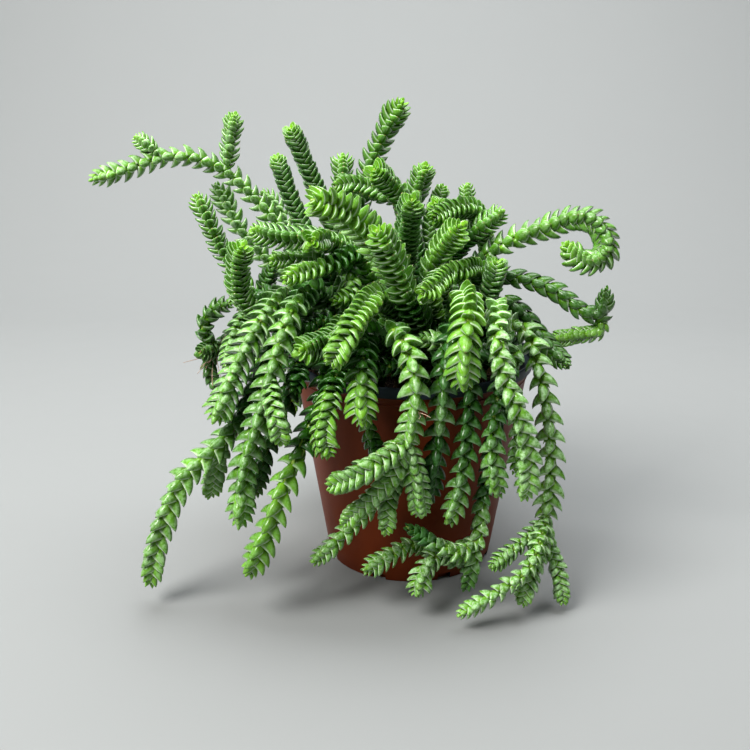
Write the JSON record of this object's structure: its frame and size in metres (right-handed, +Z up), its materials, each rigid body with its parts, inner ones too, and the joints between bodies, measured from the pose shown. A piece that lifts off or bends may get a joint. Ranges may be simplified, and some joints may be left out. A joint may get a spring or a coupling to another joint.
{
  "type": "potted crassula",
  "caption": "Trailing watch-chain crassula in a round red-brown nursery pot, with fleshy pointed leaves in straight ranks along stems that stand, arch and hang over the rim.",
  "frame": {"origin": "centre of the pot's foot, on the surface that it stands on", "axes": "+Z up along the pot's axis; -Y towards the side with the longest hanging stems"},
  "size_m": [0.1881, 0.1521, 0.1719],
  "materials": {
    "pot_plastic": "satin red-brown outside, black inside and on the lip",
    "soil": "dark crumbly bark and peat mix",
    "leaf": "waxy green, yellow-green at the tips and blue-green with a pale bloom on older leaves"
  },
  "bodies": {
    "root": {"pot": "pot_plastic", "potting_mix": "soil", "stem_back_short": "leaf", "stem_centre_drop": "leaf", "stem_crown_front": "leaf", "stem_crown_right": "leaf", "stem_dark_column": "leaf", "stem_far_right_pair": "leaf", "stem_front_cascade": "leaf", "stem_front_fan": "leaf", "stem_front_ladder": "leaf", "stem_front_left_drop": "leaf", "stem_front_left_fall": "leaf", "stem_front_left_long": "leaf", "stem_front_nod": "leaf", "stem_front_pendant": "leaf", "stem_front_strand": "leaf", "stem_great_front": "leaf", "stem_great_left": "leaf", "stem_hidden_hanging_1": "leaf", "stem_hidden_hanging_2": "leaf", "stem_hidden_hanging_3": "leaf", "stem_hidden_hanging_4": "leaf", "stem_hidden_hanging_5": "leaf", "stem_hidden_hanging_6": "leaf", "stem_hidden_hanging_7": "leaf", "stem_hidden_hanging_8": "leaf", "stem_hidden_hanging_9": "leaf", "stem_hidden_upright_1": "leaf", "stem_hidden_upright_2": "leaf", "stem_hidden_upright_3": "leaf", "stem_hidden_upright_4": "leaf", "stem_hidden_upright_5": "leaf", "stem_left_arch": "leaf", "stem_left_broad": "leaf", "stem_left_column": "leaf", "stem_left_fall": "leaf", "stem_left_grey": "leaf", "stem_left_inner_fall": "leaf", "stem_left_level": "leaf", "stem_left_long": "leaf", "stem_left_loop": "leaf", "stem_left_nod": "leaf", "stem_left_upright": "leaf", "stem_right_arch": "leaf", "stem_right_broad": "leaf", "stem_right_column": "leaf", "stem_right_curl": "leaf", "stem_right_fall": "leaf", "stem_right_inner_fall": "leaf", "stem_right_long": "leaf", "stem_right_nod": "leaf", "stem_right_spray": "leaf", "stem_right_strand": "leaf", "stem_right_thick": "leaf", "stem_right_weave": "leaf", "stem_tall_left_inner": "leaf", "stem_tall_left_outer": "leaf", "stem_top_spire": "leaf"}
  },
  "joints": []
}
